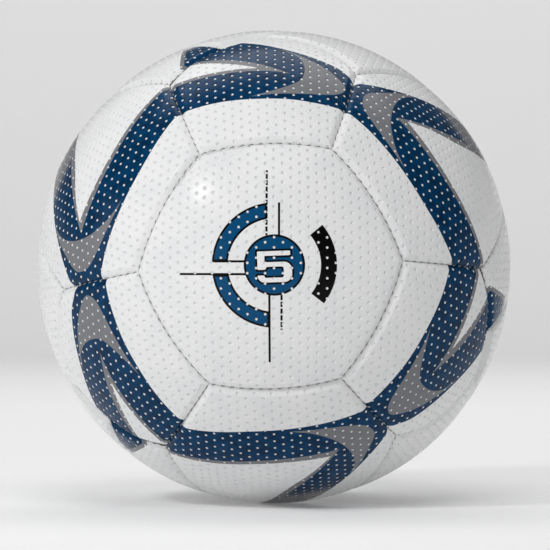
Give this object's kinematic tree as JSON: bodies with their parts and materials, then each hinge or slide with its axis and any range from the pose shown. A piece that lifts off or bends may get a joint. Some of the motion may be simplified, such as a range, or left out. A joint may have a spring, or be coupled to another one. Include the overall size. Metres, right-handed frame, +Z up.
{
  "type": "football",
  "caption": "Inflated hand-stitched football with a paneled, dimpled synthetic cover, rolled seams and an inflation valve.",
  "frame": {"origin": "centre of the ball", "axes": "-Y out of the middle of the front hexagon panel, +Y out through the inflation valve in the rear hexagon panel, +Z up, with the ball resting on the small flat at its lowest point"},
  "size_m": [0.22, 0.2197, 0.2195],
  "materials": {
    "cover": "dimpled glossy polyurethane cover, white with printed blue, black and grey bands",
    "backing": "laminated cotton and polyester cloth",
    "bladder": "smooth latex rubber",
    "thread": "waxed polyester thread",
    "valve_housing": "moulded rubber",
    "valve_plug": "moulded rubber"
  },
  "bodies": {
    "root": {"cover_front_hexagon": "cover", "cover_rear_hexagon": "cover", "cover_front_narrow_1": "cover", "cover_front_narrow_2": "cover", "cover_front_narrow_3": "cover", "cover_front_wide_1": "cover", "cover_front_wide_2": "cover", "cover_front_wide_3": "cover", "cover_rear_narrow_1": "cover", "cover_rear_narrow_2": "cover", "cover_rear_narrow_3": "cover", "cover_rear_wide_1": "cover", "cover_rear_wide_2": "cover", "cover_rear_wide_3": "cover", "cover_belt_plain_1": "cover", "cover_belt_plain_2": "cover", "cover_belt_plain_3": "cover", "cover_belt_striped_1": "cover", "cover_belt_striped_2": "cover", "cover_belt_striped_3": "cover", "backing_front_hexagon": "backing", "backing_rear_hexagon": "backing", "backing_front_narrow_1": "backing", "backing_front_narrow_2": "backing", "backing_front_narrow_3": "backing", "backing_front_wide_1": "backing", "backing_front_wide_2": "backing", "backing_front_wide_3": "backing", "backing_rear_narrow_1": "backing", "backing_rear_narrow_2": "backing", "backing_rear_narrow_3": "backing", "backing_rear_wide_1": "backing", "backing_rear_wide_2": "backing", "backing_rear_wide_3": "backing", "backing_belt_plain_1": "backing", "backing_belt_plain_2": "backing", "backing_belt_plain_3": "backing", "backing_belt_striped_1": "backing", "backing_belt_striped_2": "backing", "backing_belt_striped_3": "backing", "bladder": "bladder", "stitching_thread": "thread", "valve_housing": "valve_housing", "valve_plug": "valve_plug"}
  },
  "joints": []
}
